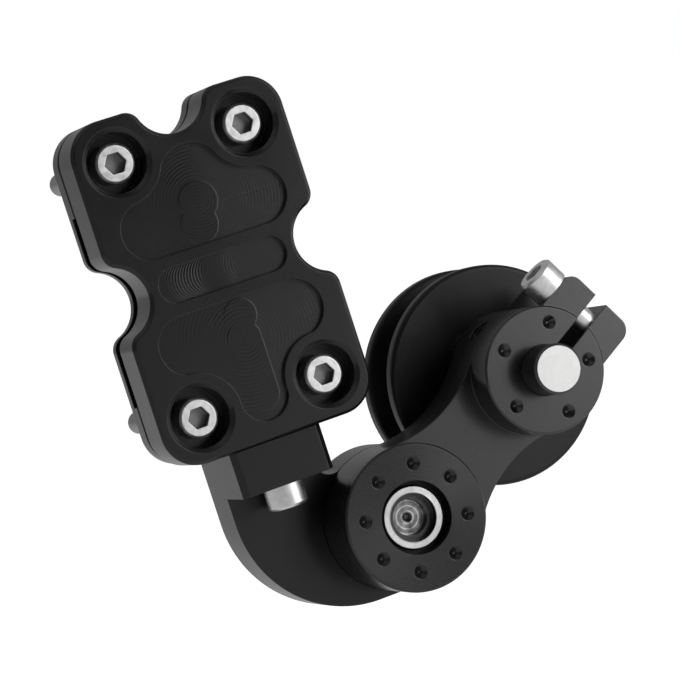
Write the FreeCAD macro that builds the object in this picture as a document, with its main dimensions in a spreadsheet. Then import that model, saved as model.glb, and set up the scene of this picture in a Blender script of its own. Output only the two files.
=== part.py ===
# Clamp-on chain tensioner: two clamp plates, an elbow bracket, a sprung swing arm and a flanged roller.
# Every sub-part is drawn in a front view with x to the right, y up and z towards the viewer.
# It is then stood up, so that the part's Z is up and its Y runs away from the viewer.
# The origin is the centre of the four clamp screws on the back face of the rear plate. All sizes are in mm.

import math
import os

import FreeCAD
import Part
import Sketcher

Vector = FreeCAD.Vector
Rotation = FreeCAD.Rotation
Placement = FreeCAD.Placement

SIZES = {
    # clamp plates
    "plate_width": 56.0,
    "plate_height": 87.0,
    "front_thick": 13.0,
    "rear_thick": 6.5,
    "corner_round": 9.0,
    "notch_radius": 9.0,
    "notch_blend": 4.0,
    "top_notch_rise": 0.6,
    "side_notch_out": 0.8,
    "rim_bevel": 0.8,
    "screw_edge": 11.0,
    "seat_radius": 7.6,
    "seat_depth": 8.0,
    "seat_bevel": 1.0,
    # shallow pockets in the front face
    "pocket_depth": 1.2,
    "pocket_margin": 6.2,
    "pocket_radius": 7.3,
    "upper_pocket_below": 17.9,
    "lower_pocket_above": 17.7,
    "upper_lobe_below": 0.3,
    "island_margin": 0.1,
    "island_overlap": 0.1,
    "middle_margin": 11.0,
    "middle_radius": 4.4,
    # rear plate
    "channel_depth": 3.0,
    "channel_top": 22.8,
    "channel_bottom": 26.0,
    "rear_clearance": 0.5,
    # screws of 6 mm thread
    "screw_radius": 3.0,
    "screw_play": 0.3,
    "thread_play": 0.05,
    "head_radius": 5.0,
    "head_height": 6.0,
    "head_bevel": 0.6,
    "socket_across": 5.0,
    "socket_depth": 3.0,
    "clamp_screw_length": 50.0,
    "bracket_screw_length": 25.0,
    "arm_screw_length": 20.0,
    # elbow bracket
    "block_width": 24.5,
    "block_shift": 0.5,
    "block_drop": 11.5,
    "block_setback": 0.5,
    "block_bevel": 1.5,
    "bracket_screw_depth": 7.5,
    "elbow_step": 15.5,
    "elbow_thick": 13.0,
    "elbow_round": 30.0,
    "neck_round": 4.0,
    "pivot_out": 27.1,
    "pivot_drop": 73.5,
    # pivot
    "hub_radius": 18.6,
    "pin_radius": 7.0,
    "pin_play": 0.03,
    "pin_proud": 0.6,
    "pin_head_radius": 8.1,
    "pin_head_thick": 2.2,
    "pin_recess_radius": 6.1,
    "pin_recess_depth": 2.4,
    "pin_step_radius": 4.6,
    "pin_step_depth": 4.5,
    "pin_foot_radius": 9.5,
    "pin_foot_thick": 2.0,
    "bush_wall": 2.0,
    "bush_flange_radius": 10.8,
    "bush_flange_thick": 1.2,
    "washer_thick": 0.5,
    "axial_play": 0.05,
    "cap_thick": 3.0,
    "cap_hole_radius": 9.2,
    "spigot_radius": 11.0,
    "cap_bevel": 0.4,
    "cap_dimple_ring": 13.5,
    "cap_dimple_count": 8,
    "dimple_radius": 1.75,
    "dimple_depth": 1.3,
    # spring and stop
    "chamber_inner": 12.2,
    "chamber_outer": 16.4,
    "chamber_depth": 9.5,
    "spring_start": 12.9,
    "strip_thick": 1.0,
    "strip_gap": 0.4,
    "strip_width": 7.5,
    "strip_turns": 2,
    "strip_play": 0.6,
    "leg_radius": 0.55,
    "leg_depth": 3.0,
    "leg_end_gap": 1.0,
    "leg_play": 0.1,
    "stop_ring": 10.6,
    "stop_radius": 1.25,
    "stop_play": 0.2,
    "stop_length": 8.5,
    "stop_reach": 3.5,
    "swing_range": 40.0,
    # swing arm
    "arm_length": 48.5,
    "arm_angle": 30.2,
    "arm_thick": 14.0,
    "end_radius": 16.1,
    "waist_radius": 33.0,
    "boss_height": 10.0,
    "boss_bevel": 0.4,
    "ear_reach": 23.6,
    "ear_half": 11.0,
    "ear_round": 3.5,
    "ear_step": 0.5,
    "slot_width": 3.8,
    "arm_screw_out": 17.8,
    "arm_screw_below": 4.5,
    "end_dimple_ring": 12.0,
    "end_dimple_turn": 36.0,
    "end_dimple_count": 5,
    "grub_radius": 3.0,
    "grub_length": 9.0,
    "grub_below": 15.0,
    "grub_socket_across": 3.0,
    "grub_socket_depth": 3.0,
    # axle, bearings and roller
    "axle_radius": 6.35,
    "axle_play": 0.02,
    "axle_proud": 8.5,
    "axle_bevel": 0.6,
    "axle_tail": 2.7,
    "ring_groove_depth": 0.6,
    "spacer_length": 10.3,
    "spacer_radius": 8.3,
    "bearing_radius": 14.29,
    "bearing_width": 7.94,
    "bearing_sink": 1.0,
    "outer_ring_inner": 12.1,
    "inner_ring_outer": 8.6,
    "ball_radius": 2.38,
    "ball_ring": 10.32,
    "ball_play": 0.02,
    "ball_count": 7,
    "shield_inner": 8.9,
    "shield_thick": 0.4,
    "shield_sink": 0.3,
    "sleeve_length": 4.6,
    "shoulder_radius": 12.4,
    "roller_radius": 28.75,
    "roller_rim": 4.5,
    "roller_rim_round": 1.2,
    "groove_radius": 20.0,
    "groove_taper": 1.5,
    "end_washer_thick": 1.0,
    "end_ring_thick": 1.0,
    "end_ring_radius": 8.0,
    "end_ring_gap": 4.0,
}

doc = FreeCAD.newDocument("chain_tensioner")
sheet = doc.addObject("Spreadsheet::Sheet", "Dims")
for row, (alias, value) in enumerate(SIZES.items(), 1):
    sheet.set("A%d" % row, alias)
    sheet.set("B%d" % row, str(value))
    sheet.setAlias("B%d" % row, alias)
doc.recompute()


def size(alias):
    """One driving size, read from the sheet."""
    return float(sheet.get(alias))


# Levels along the front view's z, as formulas on the sheet
FACE = "(Dims.front_thick + Dims.rear_thick)"
ELBOW = "(Dims.front_thick + Dims.rear_thick - Dims.elbow_step)"
ARM_BACK = "(" + ELBOW + " + Dims.washer_thick)"
WEB = "(" + ARM_BACK + " + Dims.arm_thick)"
BOSS = "(" + WEB + " + Dims.boss_height)"
PIN_HEAD_BASE = "(" + WEB + " + Dims.pin_proud - Dims.pin_head_thick)"
FLANGE_TOP = "(" + PIN_HEAD_BASE + " - Dims.axial_play)"
FLANGE_BASE = "(" + FLANGE_TOP + " - Dims.bush_flange_thick)"
CHAMBER_TOP = "(" + ARM_BACK + " + Dims.chamber_depth)"
FRONT_BEARING = "(" + ARM_BACK + " - Dims.spacer_length)"
FRONT_BEARING_BACK = "(" + FRONT_BEARING + " - Dims.bearing_width)"
REAR_BEARING = "(" + FRONT_BEARING_BACK + " - Dims.sleeve_length)"
REAR_BEARING_BACK = "(" + REAR_BEARING + " - Dims.bearing_width)"
ROLLER_FRONT = "(" + FRONT_BEARING + " + Dims.bearing_sink)"
ROLLER_BACK = "(" + REAR_BEARING_BACK + " - Dims.bearing_sink)"
END_WASHER_BACK = "(" + REAR_BEARING_BACK + " - Dims.end_washer_thick)"
END_RING_BACK = "(" + END_WASHER_BACK + " - Dims.end_ring_thick)"

# The same levels as numbers, for placements
face_z = size("front_thick") + size("rear_thick")
elbow_z = face_z - size("elbow_step")
arm_back_z = elbow_z + size("washer_thick")
web_z = arm_back_z + size("arm_thick")
boss_z = web_z + size("boss_height")
front_bearing_z = arm_back_z - size("spacer_length")
rear_bearing_z = front_bearing_z - size("bearing_width") - size("sleeve_length")

UPRIGHT = Rotation(Vector(1, 0, 0), 90)
ALONG_Y = Rotation(Vector(1, 0, 0), -90)
arm_turn = Rotation(Vector(0, 0, 1), size("arm_angle"))
clamp_place = Placement(Vector(0, 0, 0), UPRIGHT)
pivot_place = Placement(Vector(size("pivot_out"), 0, -size("pivot_drop")), UPRIGHT)
arm_place = Placement(Vector(size("pivot_out"), 0, -size("pivot_drop")), UPRIGHT * arm_turn)
axle_place = arm_place * Placement(Vector(size("arm_length"), 0, 0), Rotation())

nodes = []


def new_body(label, place):
    """An empty body for one sub-part, in its place."""
    body = doc.addObject("PartDesign::Body", label)
    body.Label = label
    body.Placement = place
    nodes.append(body)
    return body


def feature(body, kind, name, sizes, at=("0", "0", "0"), turn=None):
    """Add or cut one plain solid whose sizes and position follow the sheet."""
    item = body.newObject("PartDesign::" + kind, name)
    item.Placement = Placement(Vector(0, 0, 0), turn or Rotation())
    for prop, formula in sizes.items():
        item.setExpression(prop, formula)
    for axis, formula in zip("xyz", at):
        item.setExpression("Placement.Base." + axis, formula)
    return item


def cylinder(body, kind, name, radius, low, high, at=("0", "0")):
    """A cylinder along z between two levels."""
    sizes = {"Radius": radius, "Height": "(%s) - (%s)" % (high, low)}
    return feature(body, kind + "Cylinder", name, sizes, (at[0], at[1], low))


def block(body, kind, name, xs, ys, zs):
    """A box between two x, two y and two z values."""
    sizes = {
        "Length": "(%s) - (%s)" % (xs[1], xs[0]),
        "Width": "(%s) - (%s)" % (ys[1], ys[0]),
        "Height": "(%s) - (%s)" % (zs[1], zs[0]),
    }
    return feature(body, kind + "Box", name, sizes, (xs[0], ys[0], zs[0]))


def origin_plane(body, role):
    """One of the body's own origin planes."""
    for item in body.Origin.OriginFeatures:
        if item.Role == role:
            return item
    return None


def profile_sketch(body, name, corners):
    """A closed polygon of (radius, z) corners in the body's XZ plane, each corner held by the sheet."""
    sketch = body.newObject("Sketcher::SketchObject", name)
    sketch.AttachmentSupport = (origin_plane(body, "XZ_Plane"), [""])
    sketch.MapMode = "FlatFace"
    count = len(corners)
    start = []
    for k in range(count):
        turn = 2 * math.pi * k / count
        start.append(Vector(20 + 10 * math.cos(turn), 10 * math.sin(turn), 0))
    for k in range(count):
        sketch.addGeometry(Part.LineSegment(start[k], start[(k + 1) % count]), False)
    for k in range(count):
        sketch.addConstraint(Sketcher.Constraint("Coincident", k, 2, (k + 1) % count, 1))
    for k, (radius, level) in enumerate(corners):
        places = (("DistanceX", -2, radius, start[k].x), ("DistanceY", -1, level, start[k].y))
        for kind, axis, formula, value in places:
            if formula == "0":
                sketch.addConstraint(Sketcher.Constraint("PointOnObject", k, 1, axis))
            else:
                held = sketch.addConstraint(Sketcher.Constraint(kind, -1, 1, k, 1, value))
                sketch.setExpression("Constraints[%d]" % held, formula)
    return sketch


def turned(body, name, corners, kind="Revolution", angle="360"):
    """Turn a profile about the body's z axis, to add material or to cut a groove."""
    sketch = profile_sketch(body, name + "_profile", corners)
    item = body.newObject("PartDesign::" + kind, name)
    item.Profile = sketch
    item.ReferenceAxis = (sketch, ["V_Axis"])
    item.setExpression("Angle", angle)
    return item


def ring(body, name, inner, outer, low, high, kind="Revolution"):
    """A plain ring between two radii and two levels."""
    return turned(body, name, [(inner, low), (outer, low), (outer, high), (inner, high)], kind)


def near(value, target):
    return abs(value - target) < 0.02


def upright_at(points):
    """A test for edges along z that stand on one of the given (x, y) points."""
    def test(edge):
        ends = [v.Point for v in edge.Vertexes]
        if len(ends) != 2 or ends[0].sub(Vector(ends[1].x, ends[1].y, ends[0].z)).Length > 0.01:
            return False
        return any(near(ends[0].x, x) and near(ends[0].y, y) for x, y in points)
    return test


def dress(body, kind, name, prop, formula, test):
    """Round or bevel the edges of the body's last feature that pass a test."""
    doc.recompute()
    last = body.Tip
    picked = ["Edge%d" % k for k, edge in enumerate(last.Shape.Edges, 1) if test(edge)]
    item = body.newObject("PartDesign::" + kind, name)
    item.Base = (last, picked)
    item.setExpression(prop, formula)
    doc.recompute()
    return item


def rim_test(level, shape_body):
    """A test for the edges of the outer wire of the face that lies flat at one level."""
    doc.recompute()
    faces = []
    for face in shape_body.Tip.Shape.Faces:
        box = face.BoundBox
        if near(box.ZMin, level) and near(box.ZMax, level):
            faces.append(face)
    faces.sort(key=lambda face: face.BoundBox.DiagonalLength)
    outer = faces[-1].OuterWire.Edges

    def test(edge):
        return any(edge.isSame(item) for item in outer)
    return test


ACROSS = "(Dims.plate_width / 2 - Dims.screw_edge)"
ALONG = "(Dims.plate_height / 2 - Dims.screw_edge)"
ISLAND = "(Dims.screw_edge - Dims.island_margin)"
POCKET_HALF = "(Dims.plate_width / 2 - Dims.pocket_margin)"
UPPER_POCKET = "(%s - Dims.upper_pocket_below)" % ALONG
LOWER_POCKET = "-(%s - Dims.lower_pocket_above)" % ALONG
MIDDLE_HALF = "(Dims.plate_width / 2 - Dims.middle_margin)"
LOBE_STOP = "(%s - Dims.island_overlap)" % ISLAND
LOBE_SPREAD = "(%s ^ 2 + Dims.upper_lobe_below ^ 2 - %s ^ 2)" % (ACROSS, LOBE_STOP)
UPPER_LOBE = "(%s / (2 * (%s - Dims.upper_lobe_below)))" % (LOBE_SPREAD, LOBE_STOP)
LOBE_DROP = "(Dims.upper_lobe_below + %s)" % UPPER_LOBE
LOWER_LOBE = "(%s - %s + Dims.island_overlap)" % (ACROSS, ISLAND)


def plate_slab(body, low, high, bottom):
    """The square-cornered slab that both clamp plates start from."""
    block(body, "Additive", "slab", ("-Dims.plate_width / 2", "Dims.plate_width / 2"),
          (bottom, "Dims.plate_height / 2"), (low, high))


def plate_outline(body, low, high):
    """The shared outline of both clamp plates: rounded corners, a notch on top and one on each side."""
    half_w = size("plate_width") / 2
    half_h = size("plate_height") / 2
    doc.recompute()
    foot = body.Tip.Shape.BoundBox.YMin
    corners = [(x, y) for x in (-half_w, half_w) for y in (foot, half_h)]
    dress(body, "Fillet", "corners", "Radius", "Dims.corner_round", upright_at(corners))
    cylinder(body, "Subtractive", "top_notch", "Dims.notch_radius", low, high,
             ("0", "Dims.plate_height / 2 + Dims.top_notch_rise"))
    for name, sign in (("left_notch", "-"), ("right_notch", "")):
        cylinder(body, "Subtractive", name, "Dims.notch_radius", low, high,
                 (sign + "(Dims.plate_width / 2 + Dims.side_notch_out)", "0"))
    top_half = math.sqrt(size("notch_radius") ** 2 - size("top_notch_rise") ** 2)
    side_half = math.sqrt(size("notch_radius") ** 2 - size("side_notch_out") ** 2)
    sharp = [(-top_half, half_h), (top_half, half_h)]
    sharp += [(x, y) for x in (-half_w, half_w) for y in (-side_half, side_half)]
    dress(body, "Fillet", "notch_blends", "Radius", "Dims.notch_blend", upright_at(sharp))


def bevel_rims(body, low, high):
    """Bevel the outer rim of a plate on both faces."""
    dress(body, "Chamfer", "front_bevel", "Size", "Dims.rim_bevel", rim_test(high, body))
    dress(body, "Chamfer", "back_bevel", "Size", "Dims.rim_bevel", rim_test(low, body))


def screw_points():
    """Formulas of the four clamp screw positions."""
    return [(a + ACROSS, b + ALONG) for a in ("-", "") for b in ("-", "")]


def stadium(body, name, half, radius, height, low, high):
    """Cut a level slot with round ends."""
    block(body, "Subtractive", name, ("-(%s - %s)" % (half, radius), "%s - %s" % (half, radius)),
          ("%s - %s" % (height, radius), "%s + %s" % (height, radius)), (low, high))
    for side, sign in (("_left", "-"), ("_right", "")):
        centre = "%s(%s - %s)" % (sign, half, radius)
        cylinder(body, "Subtractive", name + side, radius, low, high, (centre, height))


def lobe(body, name, height, centre, shoulder, radius, low, high):
    """Cut the arm of a pocket that runs out between two screws, up or down to a round end."""
    ys = (height, shoulder) if not height.startswith("-") else (shoulder, height)
    reach = "(%s - Dims.pocket_radius)" % POCKET_HALF
    block(body, "Subtractive", name, ("-" + reach, reach), ys, (low, high))
    cylinder(body, "Subtractive", name + "_end", radius, low, high, ("0", centre))


def front_clamp_plate():
    body = new_body("front_clamp_plate", clamp_place)
    low = "Dims.rear_thick"
    plate_slab(body, low, FACE, "-Dims.plate_height / 2")
    floor = "(" + FACE + " - Dims.pocket_depth)"
    stadium(body, "upper_pocket", POCKET_HALF, "Dims.pocket_radius", UPPER_POCKET, floor, FACE)
    stadium(body, "lower_pocket", POCKET_HALF, "Dims.pocket_radius", LOWER_POCKET, floor, FACE)
    stadium(body, "middle_pocket", MIDDLE_HALF, "Dims.middle_radius", "0", floor, FACE)
    shoulder = "%s - %s * %s / (%s + %s)" % (ALONG, LOBE_DROP, ISLAND, UPPER_LOBE, LOBE_STOP)
    lobe(body, "upper_lobe", UPPER_POCKET, "%s - %s" % (ALONG, LOBE_DROP), shoulder, UPPER_LOBE, floor, FACE)
    lobe(body, "lower_lobe", LOWER_POCKET, "-" + ALONG, "-" + ALONG, LOWER_LOBE, floor, FACE)
    for k, point in enumerate(screw_points(), 1):
        cylinder(body, "Additive", "island_%d" % k, ISLAND, floor, FACE, point)
    plate_outline(body, low, FACE)
    bevel_rims(body, size("rear_thick"), face_z)
    seat = "(" + FACE + " - Dims.seat_depth)"
    for k, point in enumerate(screw_points(), 1):
        cylinder(body, "Subtractive", "seat_%d" % k, "Dims.seat_radius", seat, FACE, point)
        wide = "Dims.seat_radius + Dims.seat_bevel"
        bevel = {"Radius1": "Dims.seat_radius", "Radius2": wide, "Height": "Dims.seat_bevel"}
        base = (point[0], point[1], FACE + " - Dims.seat_bevel")
        feature(body, "SubtractiveCone", "seat_bevel_%d" % k, bevel, base)
        cylinder(body, "Subtractive", "hole_%d" % k, "Dims.screw_radius + Dims.screw_play", low, seat, point)
    tapped = {"Radius": "Dims.screw_radius", "Height": "Dims.bracket_screw_length - Dims.block_drop + 2"}
    feature(body, "SubtractiveCylinder", "bracket_hole", tapped,
            ("-Dims.block_shift", "-Dims.plate_height / 2", FACE + " - Dims.bracket_screw_depth"), ALONG_Y)


def rear_clamp_plate():
    body = new_body("rear_clamp_plate", clamp_place)
    high = "Dims.rear_thick"
    plate_slab(body, "0", high, "-Dims.plate_height / 2 + Dims.rear_clearance")
    plate_outline(body, "0", high)
    bevel_rims(body, 0.0, size("rear_thick"))
    block(body, "Subtractive", "channel", ("-Dims.plate_width", "Dims.plate_width"),
          ("-Dims.channel_bottom", "Dims.channel_top"), (high + " - Dims.channel_depth", high))
    for k, point in enumerate(screw_points(), 1):
        bore = "Dims.screw_radius + Dims.thread_play"
        cylinder(body, "Subtractive", "thread_%d" % k, bore, "0", high, point)


def screw_shape(body, length):
    """A socket head cap screw: the head stands on z = 0 and the shank runs down."""
    shank = "Dims.screw_radius"
    head = "Dims.head_radius"
    turned(body, "screw", [
        ("0", "-%s" % length),
        (shank + " - Dims.head_bevel", "-%s" % length),
        (shank, "-%s + Dims.head_bevel" % length),
        (shank, "0"),
        (head, "0"),
        (head, "Dims.head_height - Dims.head_bevel"),
        (head + " - Dims.head_bevel", "Dims.head_height"),
        ("0", "Dims.head_height"),
    ])
    socket = {"Circumradius": "Dims.socket_across / sqrt(3)", "Height": "Dims.socket_depth"}
    base = ("0", "0", "Dims.head_height - Dims.socket_depth")
    item = feature(body, "SubtractivePrism", "socket", socket, base)
    item.Polygon = 6


def clamp_screws():
    pattern = doc.addObject("PartDesign::Body", "clamp_screw_pattern")
    screw_shape(pattern, "Dims.clamp_screw_length")
    doc.recompute()
    seat = face_z - size("seat_depth")
    half_x = size("plate_width") / 2 - size("screw_edge")
    half_y = size("plate_height") / 2 - size("screw_edge")
    copies = []
    for x in (-half_x, half_x):
        for y in (-half_y, half_y):
            copies.append(pattern.Shape.translated(Vector(x, y, seat)))
    group = doc.addObject("Part::Feature", "clamp_screws")
    group.Label = "clamp_screws"
    group.Shape = Part.makeCompound(copies)
    group.Placement = clamp_place
    nodes.append(group)


def bracket_elbow():
    body = new_body("bracket_elbow", pivot_place)
    left = "-(Dims.pivot_out + Dims.block_shift + Dims.block_width / 2)"
    right = "-(Dims.pivot_out + Dims.block_shift - Dims.block_width / 2)"
    top = "(Dims.pivot_drop - Dims.plate_height / 2)"
    low = "(" + ELBOW + " - Dims.elbow_thick)"
    meet = "sqrt(Dims.hub_radius ^ 2 - (%s) ^ 2)" % right
    block(body, "Additive", "column", (left, right), ("-Dims.hub_radius", top), (low, ELBOW))
    block(body, "Additive", "bridge", (right, "0"), ("-Dims.hub_radius", meet), (low, ELBOW))
    cylinder(body, "Additive", "hub", "Dims.hub_radius", low, ELBOW)
    left_x = -(size("pivot_out") + size("block_shift") + size("block_width") / 2)
    right_x = left_x + size("block_width")
    meet_y = math.sqrt(size("hub_radius") ** 2 - right_x ** 2)
    bend = upright_at([(left_x, -size("hub_radius"))])
    dress(body, "Fillet", "outer_bend", "Radius", "Dims.elbow_round", bend)
    dress(body, "Fillet", "neck", "Radius", "Dims.neck_round", upright_at([(right_x, meet_y)]))
    front = FACE + " - Dims.block_setback"
    block(body, "Additive", "block", (left, right), (top + " - Dims.block_drop", top), (ELBOW, front))
    front_z = face_z - size("block_setback")

    def front_edges(edge):
        ends = [v.Point for v in edge.Vertexes]
        if len(ends) != 2 or not all(near(p.z, front_z) for p in ends):
            return False
        return any(all(near(p.x, x) for p in ends) for x in (left_x, right_x))
    dress(body, "Chamfer", "block_bevels", "Size", "Dims.block_bevel", front_edges)
    shaft = {"Radius": "Dims.screw_radius + Dims.screw_play", "Height": "Dims.block_drop"}
    feature(body, "SubtractiveCylinder", "screw_hole", shaft,
            ("-(Dims.pivot_out + Dims.block_shift)", top + " - Dims.block_drop",
             FACE + " - Dims.bracket_screw_depth"),
            ALONG_Y)
    cylinder(body, "Subtractive", "pin_bore", "Dims.pin_radius", low, ELBOW)
    spring_out = "-(Dims.spring_start + Dims.strip_turns * (Dims.strip_thick + Dims.strip_gap))"
    leg = "Dims.leg_radius + Dims.leg_play"
    cylinder(body, "Subtractive", "leg_hole", leg, ELBOW + " - Dims.leg_depth", ELBOW, (spring_out, "0"))
    stop_slot(body)


def stop_slot(body):
    """The curved slot that the stop pin runs in, clockwise from +x over the swing range."""
    wide = "(Dims.stop_radius + Dims.stop_play)"
    floor = ELBOW + " - Dims.stop_reach - 0.5"
    slot = turned(body, "stop_slot", [
        ("Dims.stop_ring - " + wide, floor),
        ("Dims.stop_ring + " + wide, floor),
        ("Dims.stop_ring + " + wide, ELBOW),
        ("Dims.stop_ring - " + wide, ELBOW),
    ], "Groove", "Dims.swing_range")
    slot.Reversed = True
    cylinder(body, "Subtractive", "stop_slot_start", wide, floor, ELBOW, ("Dims.stop_ring", "0"))
    cylinder(body, "Subtractive", "stop_slot_end", wide, floor, ELBOW,
             ("Dims.stop_ring * cos(Dims.swing_range)", "-Dims.stop_ring * sin(Dims.swing_range)"))


def bracket_screw():
    x = -size("block_shift")
    level = -size("plate_height") / 2 - size("block_drop")
    depth = face_z - size("bracket_screw_depth")
    body = new_body("bracket_screw", Placement(Vector(x, -depth, level), Rotation(Vector(1, 0, 0), 180)))
    screw_shape(body, "Dims.bracket_screw_length")


def pivot_pin():
    body = new_body("pivot_pin", pivot_place)
    top = "(" + WEB + " + Dims.pin_proud)"
    foot = "(" + ELBOW + " - Dims.elbow_thick)"
    turned(body, "pin", [
        ("0", foot + " - Dims.pin_foot_thick"),
        ("Dims.pin_foot_radius", foot + " - Dims.pin_foot_thick"),
        ("Dims.pin_foot_radius", foot),
        ("Dims.pin_radius", foot),
        ("Dims.pin_radius", PIN_HEAD_BASE),
        ("Dims.pin_head_radius", PIN_HEAD_BASE),
        ("Dims.pin_head_radius", top + " - 0.4"),
        ("Dims.pin_head_radius - 0.4", top),
        ("Dims.pin_recess_radius", top),
        ("Dims.pin_recess_radius", top + " - Dims.pin_recess_depth"),
        ("Dims.pin_step_radius", top + " - Dims.pin_recess_depth"),
        ("Dims.pin_step_radius", top + " - Dims.pin_step_depth"),
        ("1.2", top + " - Dims.pin_step_depth"),
        ("0", top + " - Dims.pin_step_depth - 1.2"),
    ])


def pivot_bush():
    body = new_body("pivot_bush", pivot_place)
    inner = "Dims.pin_radius + Dims.pin_play"
    outer = "Dims.pin_radius + Dims.bush_wall"
    turned(body, "bush", [
        (inner, ARM_BACK),
        (outer, ARM_BACK),
        (outer, FLANGE_BASE),
        ("Dims.bush_flange_radius", FLANGE_BASE),
        ("Dims.bush_flange_radius", FLANGE_TOP),
        (inner, FLANGE_TOP),
    ])


def thrust_washer():
    body = new_body("thrust_washer", pivot_place)
    ring(body, "washer", "Dims.pin_radius", "Dims.pin_radius + Dims.bush_wall", ELBOW, ARM_BACK)


def dimples(body, name, count, ring_radius, start, level, centre="0"):
    """Conical dimples on a circle, cut down from one level."""
    for k in range(int(round(count))):
        turn = math.radians(start + 360.0 * k / count)
        x = "%s + %s * %.9f" % (centre, ring_radius, math.cos(turn))
        y = "%s * %.9f" % (ring_radius, math.sin(turn))
        point = "Dims.dimple_radius * 0.15"
        sizes = {"Radius1": point, "Radius2": "Dims.dimple_radius", "Height": "Dims.dimple_depth"}
        base = (x, y, level + " - Dims.dimple_depth")
        feature(body, "SubtractiveCone", "%s_%d" % (name, k + 1), sizes, base)


def pivot_cap():
    body = new_body("pivot_cap", arm_place)
    top = "(" + WEB + " + Dims.cap_thick)"
    turned(body, "cap", [
        ("Dims.cap_hole_radius", FLANGE_TOP),
        ("Dims.spigot_radius", FLANGE_TOP),
        ("Dims.spigot_radius", WEB),
        ("Dims.hub_radius", WEB),
        ("Dims.hub_radius", top + " - Dims.cap_bevel"),
        ("Dims.hub_radius - Dims.cap_bevel", top),
        ("Dims.cap_hole_radius", top),
    ])
    dimples(body, "dimple", size("cap_dimple_count"), "Dims.cap_dimple_ring", 0.0, top)


def arm_outline(body):
    """Outline of the arm's plate: two round ends joined by waisted sides, all tangent."""
    hub = size("hub_radius")
    end = size("end_radius")
    waist = size("waist_radius")
    length = size("arm_length")
    along = ((hub + waist) ** 2 - (end + waist) ** 2 + length ** 2) / (2 * length)
    aside = math.sqrt((hub + waist) ** 2 - along ** 2)
    hub_turn = math.atan2(aside, along)
    end_turn = math.atan2(aside, along - length)
    z = Vector(0, 0, 1)

    def arc(x, y, radius, first, last):
        return Part.ArcOfCircle(Part.Circle(Vector(x, y, 0), z, radius), first, last)
    sketch = body.newObject("Sketcher::SketchObject", "arm_outline")
    sketch.AttachmentSupport = (origin_plane(body, "XY_Plane"), [""])
    sketch.MapMode = "FlatFace"
    sketch.addGeometry(arc(0, 0, hub, hub_turn, 2 * math.pi - hub_turn), False)
    sketch.addGeometry(arc(along, -aside, waist, math.pi - end_turn + 0.0, math.pi - hub_turn), False)
    sketch.addGeometry(arc(length, 0, end, -end_turn, end_turn), False)
    sketch.addGeometry(arc(along, aside, waist, math.pi + hub_turn, math.pi + end_turn), False)
    joins = ((0, 2, 1, 2), (1, 1, 2, 1), (2, 2, 3, 2), (3, 1, 0, 1))
    for one, one_end, other, other_end in joins:
        sketch.addConstraint(Sketcher.Constraint("Tangent", one, one_end, other, other_end))
    sketch.addConstraint(Sketcher.Constraint("Coincident", 0, 3, -1, 1))
    sketch.addConstraint(Sketcher.Constraint("PointOnObject", 2, 3, -1))
    held = {
        sketch.addConstraint(Sketcher.Constraint("DistanceX", -1, 1, 2, 3, length)): "Dims.arm_length",
        sketch.addConstraint(Sketcher.Constraint("Radius", 0, hub)): "Dims.hub_radius",
        sketch.addConstraint(Sketcher.Constraint("Radius", 1, waist)): "Dims.waist_radius",
        sketch.addConstraint(Sketcher.Constraint("Radius", 2, end)): "Dims.end_radius",
        sketch.addConstraint(Sketcher.Constraint("Radius", 3, waist)): "Dims.waist_radius",
    }
    for index, formula in held.items():
        sketch.setExpression("Constraints[%d]" % index, formula)
    sketch.setExpression("AttachmentOffset.Base.z", ARM_BACK)
    pad = body.newObject("PartDesign::Pad", "arm_plate")
    pad.Profile = sketch
    pad.setExpression("Length", "Dims.arm_thick")


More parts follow.
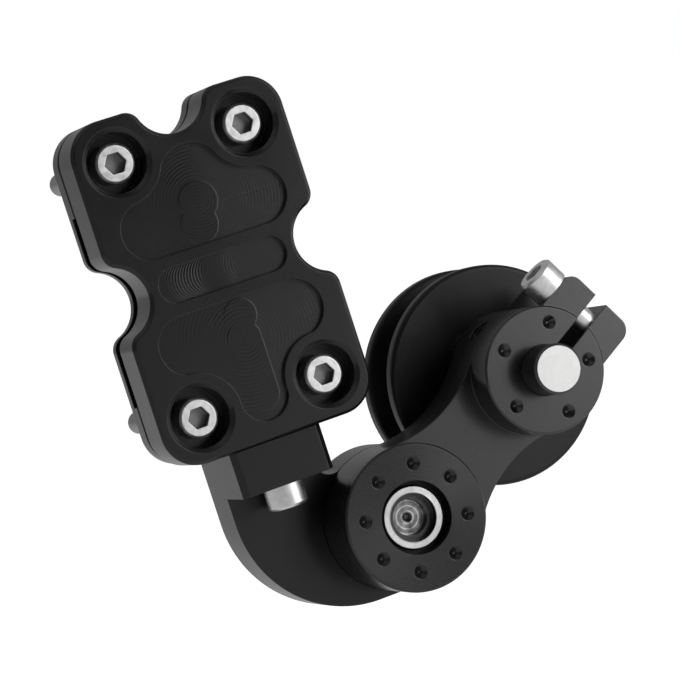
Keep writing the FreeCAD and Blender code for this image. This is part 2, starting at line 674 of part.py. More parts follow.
def swing_arm():
    body = new_body("swing_arm", arm_place)
    far = "Dims.arm_length"
    arm_outline(body)
    cylinder(body, "Additive", "boss", "Dims.end_radius", WEB, BOSS, (far, "0"))

    def boss_rim(edge):
        box = edge.BoundBox
        return near(box.ZMin, boss_z) and near(box.ZMax, boss_z)
    dress(body, "Chamfer", "boss_bevel", "Size", "Dims.boss_bevel", boss_rim)
    ear_top = BOSS + " - Dims.ear_step"
    block(body, "Additive", "ears", (far, far + " + Dims.ear_reach"), ("-Dims.ear_half", "Dims.ear_half"),
          (ARM_BACK, ear_top))
    tip = size("arm_length") + size("ear_reach")
    tips = [(tip, -size("ear_half")), (tip, size("ear_half"))]
    dress(body, "Fillet", "ear_corners", "Radius", "Dims.ear_round", upright_at(tips))
    slot = ("-Dims.slot_width / 2", "Dims.slot_width / 2")
    block(body, "Subtractive", "slot", (far, far + " + Dims.ear_reach + 1"), slot, (ARM_BACK, BOSS))
    cylinder(body, "Subtractive", "axle_bore", "Dims.axle_radius + Dims.axle_play", ARM_BACK, BOSS, (far, "0"))
    screw_x = far + " + Dims.arm_screw_out"
    screw_z = BOSS + " - Dims.arm_screw_below"
    wide = {"Radius": "Dims.screw_radius + Dims.screw_play", "Height": "Dims.ear_half"}
    feature(body, "SubtractiveCylinder", "screw_hole", wide, (screw_x, "0", screw_z), ALONG_Y)
    tapped = {"Radius": "Dims.screw_radius", "Height": "Dims.ear_half"}
    feature(body, "SubtractiveCylinder", "screw_thread", tapped, (screw_x, "-Dims.ear_half", screw_z), ALONG_Y)
    grub = {"Radius": "Dims.grub_radius", "Height": "Dims.end_radius"}
    feature(body, "SubtractiveCylinder", "grub_hole", grub, (far, "0", BOSS + " - Dims.grub_below"), ALONG_Y)
    first = size("end_dimple_turn")
    dimples(body, "dimple", size("end_dimple_count"), "Dims.end_dimple_ring", first, BOSS, far)
    cylinder(body, "Subtractive", "bush_bore", "Dims.pin_radius + Dims.bush_wall", ARM_BACK, WEB)
    cylinder(body, "Subtractive", "cap_seat", "Dims.spigot_radius", FLANGE_BASE, WEB)
    ring(body, "spring_chamber", "Dims.chamber_inner", "Dims.chamber_outer", ARM_BACK, CHAMBER_TOP, "Groove")
    stop_depth = "Dims.stop_length - Dims.stop_reach + Dims.washer_thick"
    stop_hole = {"Radius": "Dims.stop_radius", "Height": stop_depth}
    turn = math.radians(-size("arm_angle"))
    at = ("Dims.stop_ring * %.9f" % math.cos(turn), "Dims.stop_ring * %.9f" % math.sin(turn), ARM_BACK)
    feature(body, "SubtractiveCylinder", "stop_hole", stop_hole, at)
    turn = math.radians(180.0 - size("arm_angle"))
    at = ("Dims.spring_start * %.9f" % math.cos(turn), "Dims.spring_start * %.9f" % math.sin(turn))
    cylinder(body, "Subtractive", "leg_hole", "Dims.leg_radius + Dims.leg_play", CHAMBER_TOP,
             CHAMBER_TOP + " + Dims.leg_depth", at)


def stop_pin():
    place = pivot_place * Placement(Vector(size("stop_ring"), 0, 0), Rotation())
    body = new_body("stop_pin", place)
    foot = "(" + ELBOW + " - Dims.stop_reach)"
    cylinder(body, "Additive", "pin", "Dims.stop_radius", foot, foot + " + Dims.stop_length")


def spring_end():
    """Radius of the spring's outer end."""
    return size("spring_start") + size("strip_turns") * (size("strip_thick") + size("strip_gap"))


def half_ring(centre, radius, upper):
    """Half a circle about a point on the x axis, from right to left above it or from left to right below it."""
    middle = Vector(centre, radius if upper else -radius, 0)
    ends = [Vector(centre + radius, 0, 0), Vector(centre - radius, 0, 0)]
    if not upper:
        ends.reverse()
    return Part.Arc(ends[0], middle, ends[1]).toShape()


def torsion_spring():
    """A flat strip wound into a spiral, with a leg for the arm at its inner end and one for the elbow outside."""
    thick = size("strip_thick")
    step = (thick + size("strip_gap")) / 2
    inner = []
    outer = []
    for k in range(2 * int(round(size("strip_turns")))):
        upper = k % 2 == 0
        centre = 0.0 if upper else step
        middle = size("spring_start") + k * step
        inner.append(half_ring(centre, middle - thick / 2, upper))
        outer.append(half_ring(centre, middle + thick / 2, upper))
    first = [edge.Vertexes[0].Point for edge in (inner[0], outer[0])]
    last = [edge.Vertexes[-1].Point for edge in (inner[-1], outer[-1])]
    edges = inner + outer + [Part.makeLine(first[0], first[1]), Part.makeLine(last[0], last[1])]
    outline = Part.Wire(Part.__sortEdges__(edges))
    strip = Part.Face(outline).extrude(Vector(0, 0, size("strip_width")))
    base = arm_back_z + size("strip_play")
    up = arm_back_z + size("chamber_depth") + size("leg_depth") - size("leg_end_gap") - base
    down = base - elbow_z + size("leg_depth") - size("leg_end_gap")
    arm_leg = Part.makeCylinder(size("leg_radius"), up, Vector(size("spring_start"), 0, 0))
    foot = Vector(spring_end(), 0, -down)
    elbow_leg = Part.makeCylinder(size("leg_radius"), down + size("strip_width"), foot)
    node = doc.addObject("Part::Feature", "torsion_spring")
    node.Label = "torsion_spring"
    node.Shape = strip.fuse([arm_leg, elbow_leg]).Solids[0]
    node.Placement = pivot_place * Placement(Vector(0, 0, base), Rotation(Vector(0, 0, 1), 180))
    nodes.append(node)


def arm_clamp_screw():
    at = Vector(size("arm_length") + size("arm_screw_out"), size("ear_half"), boss_z - size("arm_screw_below"))
    body = new_body("arm_clamp_screw", arm_place * Placement(at, ALONG_Y))
    screw_shape(body, "Dims.arm_screw_length")


def axle_grub_screw():
    start = size("axle_radius") + size("axle_play")
    at = Vector(size("arm_length"), start, boss_z - size("grub_below"))
    body = new_body("axle_grub_screw", arm_place * Placement(at, ALONG_Y))
    turned(body, "grub", [
        ("0", "0"),
        ("Dims.grub_radius - 0.6", "0"),
        ("Dims.grub_radius", "0.6"),
        ("Dims.grub_radius", "Dims.grub_length - 0.4"),
        ("Dims.grub_radius - 0.4", "Dims.grub_length"),
        ("0", "Dims.grub_length"),
    ])
    socket = {"Circumradius": "Dims.grub_socket_across / sqrt(3)", "Height": "Dims.grub_socket_depth"}
    base = ("0", "0", "Dims.grub_length - Dims.grub_socket_depth")
    item = feature(body, "SubtractivePrism", "socket", socket, base)
    item.Polygon = 6


def axle():
    body = new_body("axle", axle_place)
    radius = "Dims.axle_radius"
    neck = "Dims.axle_radius - Dims.ring_groove_depth"
    front = "(" + BOSS + " + Dims.axle_proud)"
    back = "(" + END_RING_BACK + " - Dims.axle_tail)"
    turned(body, "axle_bar", [
        ("0", back),
        (radius + " - Dims.axle_bevel", back),
        (radius, back + " + Dims.axle_bevel"),
        (radius, END_RING_BACK),
        (neck, END_RING_BACK),
        (neck, END_WASHER_BACK),
        (radius, END_WASHER_BACK),
        (radius, front + " - Dims.axle_bevel"),
        (radius + " - Dims.axle_bevel", front),
        ("0", front),
    ])


def axle_rings():
    """Spacer, sleeve and end washer on the axle, and the retaining ring in its groove."""
    spacer = new_body("axle_spacer", axle_place)
    ring(spacer, "tube", "Dims.axle_radius", "Dims.spacer_radius", FRONT_BEARING, ARM_BACK)
    sleeve = new_body("bearing_sleeve", axle_place)
    ring(sleeve, "tube", "Dims.axle_radius", "Dims.spacer_radius", REAR_BEARING, FRONT_BEARING_BACK)
    washer = new_body("axle_washer", axle_place)
    ring(washer, "disc", "Dims.axle_radius", "Dims.spacer_radius", END_WASHER_BACK, REAR_BEARING_BACK)
    clip = new_body("axle_retaining_ring", axle_place)
    bore = "Dims.axle_radius - Dims.ring_groove_depth"
    ring(clip, "clip", bore, "Dims.end_ring_radius", END_RING_BACK, END_WASHER_BACK)
    gap = ("-Dims.end_ring_gap / 2", "Dims.end_ring_gap / 2")
    block(clip, "Subtractive", "opening", ("0", "Dims.end_ring_radius + 1"), gap,
          (END_RING_BACK, END_WASHER_BACK))


def bearing(prefix, level):
    """One deep-groove ball bearing, whose front face lies at z = 0 of its own place."""
    place = axle_place * Placement(Vector(0, 0, level), Rotation())
    back = "-Dims.bearing_width"
    middle = "-Dims.bearing_width / 2"
    outer = new_body(prefix + "_bearing_outer_ring", place)
    ring(outer, "ring", "Dims.outer_ring_inner", "Dims.bearing_radius", back, "0")
    race = {"Radius1": "Dims.ball_ring", "Radius2": "Dims.ball_radius"}
    feature(outer, "SubtractiveTorus", "race", race, ("0", "0", middle))
    inner = new_body(prefix + "_bearing_inner_ring", place)
    ring(inner, "ring", "Dims.axle_radius", "Dims.inner_ring_outer", back, "0")
    race = {"Radius1": "Dims.ball_ring", "Radius2": "Dims.ball_radius + Dims.ball_play"}
    feature(inner, "SubtractiveTorus", "race", race, ("0", "0", middle))
    count = int(round(size("ball_count")))
    spheres = []
    for k in range(count):
        turn = 2 * math.pi * k / count
        x = size("ball_ring") * math.cos(turn)
        y = size("ball_ring") * math.sin(turn)
        centre = Vector(x, y, -size("bearing_width") / 2)
        spheres.append(Part.makeSphere(size("ball_radius"), centre))
    balls = doc.addObject("Part::Feature", prefix + "_bearing_balls")
    balls.Label = prefix + "_bearing_balls"
    balls.Shape = Part.makeCompound(spheres)
    balls.Placement = place
    nodes.append(balls)
    sunk = (("front", "-Dims.shield_sink - Dims.shield_thick"), ("back", back + " + Dims.shield_sink"))
    for side, low in sunk:
        shield = new_body("%s_bearing_%s_shield" % (prefix, side), place)
        ring(shield, "shield", "Dims.shield_inner", "Dims.outer_ring_inner", low, low + " + Dims.shield_thick")


def roller():
    body = new_body("roller", axle_place)
    rim = "Dims.roller_radius"
    floor = "Dims.groove_radius"
    seat = "Dims.bearing_radius"
    turned(body, "roller_body", [
        (seat, ROLLER_BACK),
        (rim, ROLLER_BACK),
        (rim, ROLLER_BACK + " + Dims.roller_rim"),
        (floor, ROLLER_BACK + " + Dims.roller_rim + Dims.groove_taper"),
        (floor, ROLLER_FRONT + " - Dims.roller_rim - Dims.groove_taper"),
        (rim, ROLLER_FRONT + " - Dims.roller_rim"),
        (rim, ROLLER_FRONT),
        (seat, ROLLER_FRONT),
        (seat, FRONT_BEARING_BACK),
        ("Dims.shoulder_radius", FRONT_BEARING_BACK),
        ("Dims.shoulder_radius", REAR_BEARING),
        (seat, REAR_BEARING),
    ])
    radius = size("roller_radius")

    def rims(edge):
        curve = edge.Curve
        return isinstance(curve, Part.Circle) and near(curve.Radius, radius)
    dress(body, "Fillet", "rim_rounds", "Radius", "Dims.roller_rim_round", rims)


front_clamp_plate()
rear_clamp_plate()
clamp_screws()
bracket_elbow()
bracket_screw()
pivot_pin()
pivot_bush()
thrust_washer()
pivot_cap()
torsion_spring()
swing_arm()
stop_pin()
arm_clamp_screw()
axle_grub_screw()
axle()
axle_rings()
bearing("front", front_bearing_z)
bearing("rear", rear_bearing_z)
roller()
doc.recompute()

for item in doc.Objects:
    if "Invalid" in item.State or "Error" in item.State:
        raise RuntimeError("%s is %s" % (item.Name, item.State))

os.makedirs("parts", exist_ok=True)
for node in nodes:
    shape = node.Shape
    if shape.isNull() or not shape.isValid() or not shape.Solids:
        raise RuntimeError("%s has no valid shape" % node.Label)
    shape.exportStep("parts/%s.step" % node.Label)
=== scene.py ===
# Looks of the clamp-on chain tensioner: materials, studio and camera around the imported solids.
# All places are in metres in the part's own frame: X right, Y away from the viewer, Z up.
# A place in the front view is a pair of X and Z.

import math

import bmesh
import bpy
from mathutils import Matrix, Vector

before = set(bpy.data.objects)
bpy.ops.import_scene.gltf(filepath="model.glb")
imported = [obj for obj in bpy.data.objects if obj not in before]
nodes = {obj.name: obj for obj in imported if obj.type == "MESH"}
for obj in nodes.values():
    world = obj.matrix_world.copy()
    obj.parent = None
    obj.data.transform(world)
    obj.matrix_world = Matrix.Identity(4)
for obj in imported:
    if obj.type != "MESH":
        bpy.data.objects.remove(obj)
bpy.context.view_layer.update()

# Axes in the front view, and half the clamp screws' spacing each way.
PIVOT = (0.0271, -0.0735)
ARM_ANGLE = math.radians(30.2)
ARM_LENGTH = 0.0485
AXLE = (PIVOT[0] + ARM_LENGTH * math.cos(ARM_ANGLE), PIVOT[1] + ARM_LENGTH * math.sin(ARM_ANGLE))
SCREW_X = 0.017
SCREW_Z = 0.0325

# Bands along an axis are two pairs: where a mask rises from 0, and where it falls back to 0.
# The marks come in around the pocket floors, which lie at Y -0.0183, and have half their strength there.
POCKET_BAND = ((-0.01835, -0.01825), (-0.0180, -0.0100))
# Painted shade in the clamp screws' hex recesses: its band along Y, radius, rim, grey and share.
RECESS_BAND = ((-0.0174, -0.0168), (-0.0105, -0.0100))
RECESS_RADIUS = 0.0031
RECESS_RIM = 0.0001
RECESS_SHADE_GREY = 0.10
RECESS_SHADE_SHARE = 0.8
THREAD_START = (0.0, 0.0005)
THREAD_PITCH = 0.001
THREAD_HEIGHT = 6.0
THREAD_GREY = 0.35

# Cutter marks in the front plate's pockets; the steps are circles that stand a little higher.
UPPER_PLUNGE = (-0.0003, 0.0177)
LOWER_PLUNGE = (0.0, -0.0177)
CUTTER_STEPS = (
    (UPPER_PLUNGE, 0.0050),
    ((-0.0018, 0.0122), 0.0048),
    ((0.0009, -0.0120), 0.0042),
    (LOWER_PLUNGE, 0.0043),
)
STEP_RIM = 0.00012
STEP_HEIGHT = 1.3
UPPER_PITCH = 0.00085
LOWER_PITCH = 0.00095
MIDDLE_EDGE = (0.0062, 0.0064)
ARC_PITCH = 0.00078
ARC_RADIUS = 0.0052
ARC_HEIGHT = 0.65
STRONG_ARCS = ((-0.0155, -0.0120), (-0.0065, -0.0035))
FAINT_ARCS = ((-0.0010, 0.0015), (0.0030, 0.0045))
FAINT_SHARE = 0.6
TRACK_X = 0.0004
TRACK_END = -0.0320
TRACK_RADIUS = 0.00405
TRACK_RIM = 0.00015
SEAM_Z = 0.0157
SEAM_HALF = 0.0004
SEAM_START = (0.0055, 0.0065)
SEAM_DEPTH = 0.7
PALE_START = (-0.001, 0.004)
PALE_FACTOR = 4.0

# Turning lines, and the rings and the painted shade in the pivot pin's front recess.
CAP_PITCH = 0.00042
CAP_LINES = 0.18
ROLLER_PITCH = 0.00055
LINE_HEIGHT = 0.3
RING_PITCH = 0.0013
RING_GREY = 0.80
# Painted shade in the pivot pin's front recess: its patchy greys, its rim and band along Y, the recess
# wall's place as shares of the radius, the wall's darker grey, and a bump height for its patches.
PIN_SHADE_GREYS = (0.10, 0.30)
PIN_SHADE_RIM = 0.0002
PIN_SHADE_FRONT = (0.0, -0.001)
PIN_SHADED_WALL = (0.72, 0.76)
PIN_WALL_SHADE_GREY = 0.07
PIN_FRONT_RELIEF = 6.0

# The part of a noise's values that a blend or a roughness is spread over.
NOISE_RANGE = (0.3, 0.7)
SMEAR_RANGE = (0.35, 0.7)

# Cosines: from a flat face to a rounded edge, and from a side to a face that looks along Y.
EDGE_RANGE = (0.99, 0.75)
FACING_RANGE = (0.9, 0.98)

ANODISED_WARMTH = 0.01
STEEL_WARMTH = 0.004
ANODISED_GRAIN = 0.16
PLATED_GRAIN = 0.4
TURNED_GRAIN = 0.5
CLOUD_SHARE = 0.6
GRAIN_SHARE = 0.4
# Paler edges of the anodised parts, partly wear and partly a painted highlight: the spread of their
# patches, and their grey.
WEAR_AND_SHEEN_SCUFF = (0.42, 0.62)
WEAR_AND_SHEEN_GREY = 0.05
# Painted shade on the sides of turned bars, as a share of their grey.
SIDE_SHADE_SHARE = 0.12
ROLLER_GREYS = (0.0025, 0.004)
# A painted highlight on the roller's edges: its grey and its share.
ROLLER_HIGHLIGHT_GREY = 0.03
ROLLER_HIGHLIGHT_SHARE = 0.35

# Sockets of a Mix node that share their names with others.
FLOAT_A = 2
FLOAT_B = 3
COLOUR_A = 6
COLOUR_B = 7
COLOUR_RESULT = 2

# The photograph's camera, fitted with the front plate's face as its zero along Y.
CAMERA_YAW = math.radians(-18.953)
CAMERA_PITCH = math.radians(3.481)
CAMERA_ROLL = math.radians(-17.981)
CAMERA_SHIFT = Vector((-0.028468, -0.017285, 0.731764))
CAMERA_LENS = 158.84
PLATE_FACE = 0.0195

# The world is dimmest straight in front of the part and brightens to the sides.
WORLD_FRONT = (-0.85, -0.10)
WORLD_LEVELS = (0.01, 0.32)
FLOOR_Z = -0.16
FLOOR_HALF = 30.0
FLOOR_GLOW = 0.83
FLOOR_MIRRORED = 0.4


class Graph:
    """Short calls for building one material's node tree."""

    def __init__(self, name):
        self.material = bpy.data.materials.new(name)
        self.material.use_nodes = True
        self.tree = self.material.node_tree
        self.shader = self.tree.nodes["Principled BSDF"]

    def add(self, kind, **settings):
        node = self.tree.nodes.new(kind)
        for key, value in settings.items():
            setattr(node, key, value)
        return node

    def put(self, socket, value):
        """Set a socket to a number or colour, or link it to another node's output."""
        if isinstance(value, bpy.types.NodeSocket):
            self.tree.links.new(value, socket)
        else:
            socket.default_value = value

    def math(self, operation, one, other=0.0, clamp=False):
        node = self.add("ShaderNodeMath", operation=operation, use_clamp=clamp)
        self.put(node.inputs[0], one)
        self.put(node.inputs[1], other)
        return node.outputs[0]

    def plus(self, one, other):
        return self.math("ADD", one, other)

    def minus(self, one, other):
        return self.math("SUBTRACT", one, other)

    def times(self, first, *others):
        for other in others:
            first = self.math("MULTIPLY", first, other)
        return first

    def place(self):
        """The point on the piece in the part's frame, as outputs X, Y and Z."""
        coordinates = self.add("ShaderNodeTexCoord")
        split = self.add("ShaderNodeSeparateXYZ")
        self.put(split.inputs[0], coordinates.outputs["Object"])
        return split.outputs

    def noise(self, scale, detail, rough=0.5):
        """Noise in the part's frame; scale is in cycles per metre."""
        coordinates = self.add("ShaderNodeTexCoord")
        node = self.add("ShaderNodeTexNoise")
        self.put(node.inputs["Vector"], coordinates.outputs["Object"])
        node.inputs["Scale"].default_value = scale
        node.inputs["Detail"].default_value = detail
        node.inputs["Roughness"].default_value = rough
        return node.outputs["Fac"]

    def span(self, value, low, high, to_low=0.0, to_high=1.0):
        """Map the range from low to high onto another range, and hold its ends beyond."""
        node = self.add("ShaderNodeMapRange", clamp=True)
        for socket, number in zip(node.inputs, (value, low, high, to_low, to_high)):
            self.put(socket, number)
        return node.outputs[0]

    def band(self, value, rise, fall, top=1.0):
        """0 before the rise, top between the rise and the fall, and 0 after the fall."""
        return self.times(self.span(value, *rise), self.span(value, fall[1], fall[0], to_high=top))

    def disc(self, distance, radius, rim):
        """1 within a circle and 0 outside it, with a soft rim on each side of the radius."""
        return self.span(distance, radius + rim, radius - rim)

    def blend(self, factor, one, other):
        """Mix two colours."""
        node = self.add("ShaderNodeMix", data_type="RGBA")
        self.put(node.inputs["Factor"], factor)
        self.put(node.inputs[COLOUR_A], one)
        self.put(node.inputs[COLOUR_B], other)
        return node.outputs[COLOUR_RESULT]

    def length(self, across, along):
        """Length of a step in the front view."""
        return self.math("SQRT", self.plus(self.times(across, across), self.times(along, along)))

    def distance(self, x, z, centre):
        """Distance from a place in the front view."""
        return self.length(self.minus(x, centre[0]), self.minus(z, centre[1]))

    def waves(self, value, pitch):
        """A sine of the given pitch in metres."""
        return self.math("SINE", self.times(value, 2 * math.pi / pitch))

    def facing(self, rear=False):
        """1 on a face that looks to the front, and on one to the rear if asked, and 0 on a side."""
        geometry = self.add("ShaderNodeNewGeometry")
        split = self.add("ShaderNodeSeparateXYZ")
        self.put(split.inputs[0], geometry.outputs["True Normal"])
        ahead = self.times(split.outputs["Y"], -1.0)
        if rear:
            ahead = self.math("ABSOLUTE", ahead)
        return self.span(ahead, *FACING_RANGE)

    def rounded(self, radius):
        """A normal that is rounded near sharp edges."""
        bevel = self.add("ShaderNodeBevel", samples=6)
        bevel.inputs["Radius"].default_value = radius
        return bevel.outputs[0]

    def edge_mask(self, normal):
        """1 on sharp edges, where the rounded normal leaves the plain one, and 0 on flat faces."""
        geometry = self.add("ShaderNodeNewGeometry")
        product = self.add("ShaderNodeVectorMath", operation="DOT_PRODUCT")
        self.put(product.inputs[0], normal)
        self.put(product.inputs[1], geometry.outputs["Normal"])
        return self.span(product.outputs["Value"], *EDGE_RANGE)

    def bump(self, height, depth, strength, normal):
        node = self.add("ShaderNodeBump")
        node.inputs["Strength"].default_value = strength
        node.inputs["Distance"].default_value = depth
        self.put(node.inputs["Height"], height)
        self.put(node.inputs["Normal"], normal)
        return node.outputs[0]

    def finish(self, **sockets):
        """Fill the shader's sockets, named with underscores for spaces, and hand back the material."""
        for name, value in sockets.items():
            self.put(self.shader.inputs[name.replace("_", " ")], value)
        return self.material


def rgb(value, warm=0.0):
    """A grey with its alpha, redder and less blue by the share called warm."""
    return (value * (1 + warm), value, value * (1 - warm), 1.0)


def pocket_marks(g, x, z):
    """Cutter marks on the front plate's pocket floors: their height, and a mask of the paler right part."""
    upper = g.waves(g.distance(x, z, UPPER_PLUNGE), UPPER_PITCH)
    lower = g.waves(g.distance(x, z, LOWER_PLUNGE), LOWER_PITCH)
    bow = g.math("MAXIMUM", g.minus(ARC_RADIUS ** 2, g.times(z, z)), 0.0)
    arcs = g.waves(g.plus(x, g.math("SQRT", bow)), ARC_PITCH)
    arcs = g.times(arcs, g.plus(g.band(x, *STRONG_ARCS), g.band(x, *FAINT_ARCS, top=FAINT_SHARE)))
    is_upper = g.span(z, *MIDDLE_EDGE)
    is_lower = g.span(z, -MIDDLE_EDGE[0], -MIDDLE_EDGE[1])
    is_middle = g.minus(1.0, g.math("ADD", is_upper, is_lower, clamp=True))
    ripple = g.plus(g.times(upper, is_upper), g.times(lower, is_lower))
    patches = g.noise(scale=160.0, detail=2.0)
    ripple = g.times(ripple, g.span(patches, 0.38, 0.62, to_low=0.04, to_high=0.20))
    ripple = g.plus(ripple, g.times(arcs, is_middle, ARC_HEIGHT))
    steps = 0.0
    for centre, radius in CUTTER_STEPS:
        steps = g.math("MAXIMUM", steps, g.disc(g.distance(x, z, centre), radius, STEP_RIM))
    reach = g.math("MINIMUM", g.math("MAXIMUM", z, TRACK_END), LOWER_PLUNGE[1])
    track = g.length(g.minus(x, TRACK_X), g.minus(z, reach))
    steps = g.math("MAXIMUM", steps, g.disc(track, TRACK_RADIUS, TRACK_RIM))
    seam = g.math("ABSOLUTE", g.minus(z, SEAM_Z))
    seam = g.times(g.span(seam, SEAM_HALF, 0.0), g.span(x, *SEAM_START))
    height = g.plus(ripple, g.minus(g.times(steps, STEP_HEIGHT), g.times(seam, SEAM_DEPTH)))
    pale = g.times(g.span(x, *PALE_START), g.minus(1.0, steps))
    return height, pale


def anodised(name, dark, light, ior, marks=None, turning=None):
    """Black anodised aluminium with fine grain, paler edges that are partly wear and partly a painted
    highlight, and optional cutter or turning marks.
    """
    g = Graph(name)
    x, y, z = g.place()
    grain = g.noise(scale=5200.0, detail=4.0, rough=0.65)
    cloud = g.noise(scale=55.0, detail=3.0, rough=0.55)
    scuff = g.noise(scale=420.0, detail=5.0, rough=0.7)
    normal = g.rounded(radius=0.00035)
    tone = g.span(cloud, *NOISE_RANGE)
    colour = g.blend(tone, rgb(dark, ANODISED_WARMTH), rgb(light, ANODISED_WARMTH))
    # Paler edges in patches: partly wear, partly a painted highlight.
    edge_sheen = g.times(g.edge_mask(normal), g.span(scuff, *WEAR_AND_SHEEN_SCUFF, to_low=0.2, to_high=0.8))
    colour = g.blend(edge_sheen, colour, rgb(WEAR_AND_SHEEN_GREY))
    height = g.times(grain, ANODISED_GRAIN)
    mottle = g.plus(g.times(cloud, CLOUD_SHARE), g.times(grain, GRAIN_SHARE))
    rough = g.span(mottle, *NOISE_RANGE, to_low=0.21, to_high=0.29)
    if marks:
        on_floor = g.times(g.band(y, *POCKET_BAND), g.facing())
        ripple, pale = marks(g, x, z)
        height = g.plus(height, g.times(ripple, on_floor))
        colour = g.blend(g.times(pale, on_floor), colour, rgb(light * PALE_FACTOR))
    if turning:
        lines = g.waves(g.distance(x, z, turning), CAP_PITCH)
        height = g.plus(height, g.times(lines, g.facing(), CAP_LINES))
    relief = g.bump(height, depth=0.00004, strength=1.0, normal=normal)
    return g.finish(Base_Color=colour, Roughness=rough, IOR=ior, Normal=relief)


def plated(name, value, rough):
    """Bright plated steel with handling marks, painted shade in the clamp screws' hex recesses, and greyer
    at their threads.
    """
    g = Graph(name)
    x, y, z = g.place()
    grain = g.noise(scale=3800.0, detail=4.0, rough=0.6)
    smear = g.noise(scale=700.0, detail=4.0, rough=0.6)
    tone = g.span(smear, *SMEAR_RANGE)
    colour = g.blend(tone, rgb(value * 0.8, STEEL_WARMTH), rgb(value, STEEL_WARMTH))
    behind = g.span(y, *THREAD_START)
    turns = g.times(g.waves(y, THREAD_PITCH), behind)
    height = g.plus(g.times(grain, PLATED_GRAIN), g.times(turns, THREAD_HEIGHT))
    around = g.distance(g.math("ABSOLUTE", x), g.math("ABSOLUTE", z), (SCREW_X, SCREW_Z))
    # Painted shade in the clamp screws' hex recesses.
    recess_shade = g.times(g.band(y, *RECESS_BAND), g.disc(around, RECESS_RADIUS, RECESS_RIM))
    colour = g.blend(g.times(recess_shade, RECESS_SHADE_SHARE), colour, rgb(RECESS_SHADE_GREY))
    colour = g.blend(behind, colour, rgb(THREAD_GREY))
    finish = g.span(smear, *NOISE_RANGE, to_low=rough * 0.8, to_high=rough * 1.25)
    relief = g.bump(height, depth=0.00003, strength=0.5, normal=g.rounded(radius=0.0003))
    return g.finish(Base_Color=colour, Metallic=1.0, Roughness=finish, Normal=relief)


def turned_steel(name, value, rough, centre, pitch, shaded_radius=0.0):
    """Turned bar with bright lined ends and painted shade on its sides, and out to a given radius a ringed
    front with patchy painted shade in its recess and darker painted shade on the recess wall.
    """
    g = Graph(name)
    x, y, z = g.place()
    grain = g.noise(scale=2600.0, detail=4.0, rough=0.6)
    smear = g.noise(scale=500.0, detail=4.0, rough=0.6)
    around = g.distance(x, z, centre)
    ends = g.facing(rear=True)
    lines = g.times(g.waves(around, pitch), ends, LINE_HEIGHT)
    height = g.plus(g.times(grain, TURNED_GRAIN), lines)
    tone = g.span(smear, *SMEAR_RANGE)
    colour = g.blend(tone, rgb(value * 0.88, STEEL_WARMTH), rgb(value, STEEL_WARMTH))
    # Painted shade on the sides, which face neither front nor rear.
    colour = g.blend(ends, rgb(value * SIDE_SHADE_SHARE), colour)
    finish = g.span(smear, *NOISE_RANGE, to_low=rough * 0.85, to_high=rough * 1.2)
    # Patchy painted shade in the pivot pin's front recess, with bright turning rings over it and darker
    # painted shade on the recess wall.
    if shaded_radius:
        front_shade = g.times(g.disc(around, shaded_radius, PIN_SHADE_RIM), g.span(y, *PIN_SHADE_FRONT))
        patchy = g.blend(g.span(smear, 0.35, 0.65), rgb(PIN_SHADE_GREYS[0]), rgb(PIN_SHADE_GREYS[1]))
        rings = g.span(g.waves(around, RING_PITCH), 0.45, 0.95, to_high=0.7)
        rings = g.times(rings, g.span(smear, 0.38, 0.58, to_low=0.35))
        patchy = g.blend(rings, patchy, rgb(RING_GREY))
        wall = g.span(around, shaded_radius * PIN_SHADED_WALL[0], shaded_radius * PIN_SHADED_WALL[1])
        patchy = g.blend(wall, patchy, rgb(PIN_WALL_SHADE_GREY))
        colour = g.blend(front_shade, colour, patchy)
        height = g.plus(height, g.times(smear, front_shade, PIN_FRONT_RELIEF))
    relief = g.bump(height, depth=0.00003, strength=0.5, normal=g.rounded(radius=0.0002))
    return g.finish(Base_Color=colour, Metallic=1.0, Roughness=finish, Normal=relief)


def turned_plastic(name):
    """Matt black turned plastic with faint concentric lines and a painted highlight on its edges."""
    g = Graph(name)
    place = g.place()
    grain = g.noise(scale=3000.0, detail=4.0, rough=0.6)
    cloud = g.noise(scale=90.0, detail=3.0)
    normal = g.rounded(radius=0.0004)
    lines = g.waves(g.distance(place["X"], place["Z"], AXLE), ROLLER_PITCH)
    height = g.plus(g.times(grain, TURNED_GRAIN), g.times(lines, LINE_HEIGHT))
    tone = g.span(cloud, *NOISE_RANGE)
    colour = g.blend(tone, rgb(ROLLER_GREYS[0]), rgb(ROLLER_GREYS[1]))
    # A painted highlight along all the roller's edges.
    edge_sheen = g.times(g.edge_mask(normal), ROLLER_HIGHLIGHT_SHARE)
    colour = g.blend(edge_sheen, colour, rgb(ROLLER_HIGHLIGHT_GREY))
    rough = g.span(cloud, *NOISE_RANGE, to_low=0.36, to_high=0.46)
    relief = g.bump(height, depth=0.00003, strength=0.5, normal=normal)
    return g.finish(Base_Color=colour, Roughness=rough, IOR=1.42, Normal=relief)


def oiled(name, value, metallic, rough):
    """Dark oxide, spring or bearing metal, or dark bush plastic, with a film of oil and a little grain."""
    g = Graph(name)
    grain = g.noise(scale=2600.0, detail=4.0, rough=0.6)
    smear = g.noise(scale=300.0, detail=4.0, rough=0.6)
    colour = g.blend(g.span(smear, *NOISE_RANGE), rgb(value * 0.75), rgb(value * 1.1))
    finish = g.span(smear, *NOISE_RANGE, to_low=rough * 0.8, to_high=rough * 1.3)
    relief = g.bump(grain, depth=0.00002, strength=0.5, normal=g.rounded(radius=0.0002))
    return g.finish(Base_Color=colour, Metallic=metallic, Roughness=finish, Normal=relief)


def paint(material, *names):
    """Put one material on the named nodes."""
    for name in names:
        data = nodes[name].data
        data.materials.clear()
        data.materials.append(material)


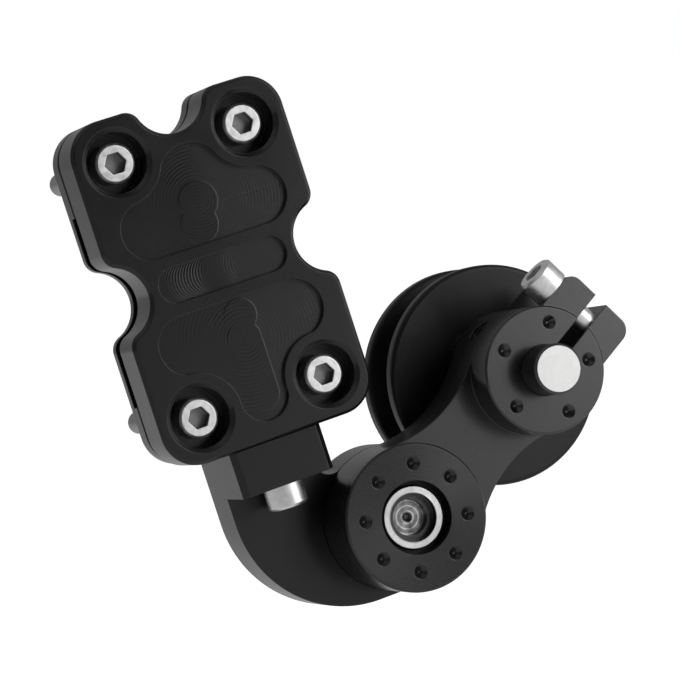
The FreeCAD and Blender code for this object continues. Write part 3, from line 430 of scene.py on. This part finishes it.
def dress_nodes():
    """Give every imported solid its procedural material."""
    plate = anodised("plate_black", dark=0.0050, light=0.0075, ior=1.48, marks=pocket_marks)
    back = anodised("bracket_black", dark=0.0050, light=0.0075, ior=1.46)
    arm = anodised("arm_black", dark=0.0080, light=0.0110, ior=1.64)
    cap = anodised("cap_black", dark=0.0070, light=0.0100, ior=1.54, turning=PIVOT)
    zinc = plated("zinc_screw", value=0.90, rough=0.38)
    pin = turned_steel("pin_steel", value=0.74, rough=0.30, centre=PIVOT, pitch=0.00035, shaded_radius=0.0062)
    bar = turned_steel("axle_steel", value=0.84, rough=0.52, centre=AXLE, pitch=0.0005)
    roller = turned_plastic("roller_black")
    oxide = oiled("black_oxide", value=0.05, metallic=0.9, rough=0.35)
    spring = oiled("spring_steel", value=0.28, metallic=1.0, rough=0.32)
    bearing = oiled("bearing_steel", value=0.70, metallic=1.0, rough=0.16)
    shield = oiled("bearing_shield", value=0.52, metallic=1.0, rough=0.30)
    bush = oiled("dark_bush", value=0.006, metallic=0.0, rough=0.45)
    paint(plate, "front_clamp_plate")
    paint(back, "rear_clamp_plate", "bracket_elbow")
    paint(arm, "swing_arm")
    paint(cap, "pivot_cap")
    paint(zinc, "clamp_screws", "bracket_screw", "arm_clamp_screw")
    paint(pin, "pivot_pin")
    paint(bar, "axle", "axle_spacer", "bearing_sleeve", "axle_washer")
    paint(roller, "roller")
    paint(oxide, "axle_grub_screw", "axle_retaining_ring", "stop_pin")
    paint(spring, "torsion_spring")
    paint(bush, "pivot_bush", "thrust_washer")
    for end in ("front", "rear"):
        paint(bearing, end + "_bearing_outer_ring", end + "_bearing_inner_ring", end + "_bearing_balls")
        paint(shield, end + "_bearing_front_shield", end + "_bearing_back_shield")


def photo_camera():
    """The photograph's camera: a long lens from the left, a little above, rolled to the side."""
    upright = Matrix(((1, 0, 0), (0, 0, -1), (0, 1, 0)))
    tilt = Matrix.Rotation(CAMERA_ROLL, 3, "Z") @ Matrix.Rotation(CAMERA_PITCH, 3, "X")
    turn = tilt @ Matrix.Rotation(CAMERA_YAW, 3, "Y") @ upright
    place = -(turn.transposed() @ CAMERA_SHIFT) - Vector((0, PLATE_FACE, 0))
    right, down, ahead = turn
    data = bpy.data.cameras.new("photo_camera")
    data.sensor_width = 36.0
    data.lens = CAMERA_LENS
    data.clip_start = 0.05
    camera = bpy.data.objects.new("photo_camera", data)
    axes = Matrix((right, -down, -ahead)).transposed().to_4x4()
    camera.matrix_world = Matrix.Translation(place) @ axes
    bpy.context.scene.collection.objects.link(camera)
    bpy.context.scene.camera = camera


def softbox(name, place, target, width, height, power):
    """A rectangular area light at a place, turned to a target."""
    data = bpy.data.lights.new(name, "AREA")
    data.shape = "RECTANGLE"
    data.size = width
    data.size_y = height
    data.energy = power
    light = bpy.data.objects.new(name, data)
    light.location = place
    light.rotation_euler = (Vector(target) - Vector(place)).to_track_quat("-Z", "Y").to_euler()
    bpy.context.scene.collection.objects.link(light)


def studio_world():
    """A white surround that is dimmer in front of the object, seen as plain white by the camera."""
    world = bpy.data.worlds.new("studio")
    bpy.context.scene.world = world
    world.use_nodes = True
    tree = world.node_tree
    tree.nodes.clear()
    link = tree.links.new
    coordinates = tree.nodes.new("ShaderNodeTexCoord")
    split = tree.nodes.new("ShaderNodeSeparateXYZ")
    link(coordinates.outputs["Generated"], split.inputs[0])
    ahead = tree.nodes.new("ShaderNodeMapRange")
    ahead.inputs["From Min"].default_value = WORLD_FRONT[0]
    ahead.inputs["From Max"].default_value = WORLD_FRONT[1]
    ahead.inputs["To Min"].default_value = WORLD_LEVELS[0]
    ahead.inputs["To Max"].default_value = WORLD_LEVELS[1]
    link(split.outputs["Y"], ahead.inputs["Value"])
    path = tree.nodes.new("ShaderNodeLightPath")
    strength = tree.nodes.new("ShaderNodeMix")
    strength.data_type = "FLOAT"
    link(path.outputs["Is Camera Ray"], strength.inputs["Factor"])
    link(ahead.outputs[0], strength.inputs[FLOAT_A])
    strength.inputs[FLOAT_B].default_value = 1.0
    background = tree.nodes.new("ShaderNodeBackground")
    background.inputs["Color"].default_value = (1, 1, 1, 1)
    link(strength.outputs[0], background.inputs["Strength"])
    output = tree.nodes.new("ShaderNodeOutputWorld")
    link(background.outputs[0], output.inputs["Surface"])


def studio_floor():
    """A wide pale floor below the part, which glows to the camera so that it is seen near white."""
    mesh = bpy.data.meshes.new("floor")
    shape = bmesh.new()
    bmesh.ops.create_grid(shape, x_segments=1, y_segments=1, size=FLOOR_HALF)
    shape.to_mesh(mesh)
    shape.free()
    floor = bpy.data.objects.new("floor", mesh)
    floor.location = (0, 0, FLOOR_Z)
    bpy.context.scene.collection.objects.link(floor)
    g = Graph("floor_white")
    path = g.add("ShaderNodeLightPath")
    mirrored = g.times(path.outputs["Is Glossy Ray"], FLOOR_MIRRORED)
    seen = g.math("MAXIMUM", path.outputs["Is Camera Ray"], mirrored)
    glow = g.times(seen, FLOOR_GLOW)
    white = g.finish(Base_Color=rgb(0.85), Roughness=0.9, Emission_Color=rgb(1.0), Emission_Strength=glow)
    mesh.materials.append(white)


dress_nodes()
photo_camera()
studio_world()
studio_floor()
softbox("right_box", place=(0.66, -0.67, 0.02), target=(0.05, 0, -0.04), width=0.60, height=0.90, power=5.0)
softbox("top_box", place=(-0.25, -0.35, 0.75), target=(0.02, 0, -0.03), width=0.70, height=0.70, power=0.35)
bpy.context.scene.view_settings.view_transform = "Standard"
bpy.context.view_layer.update()
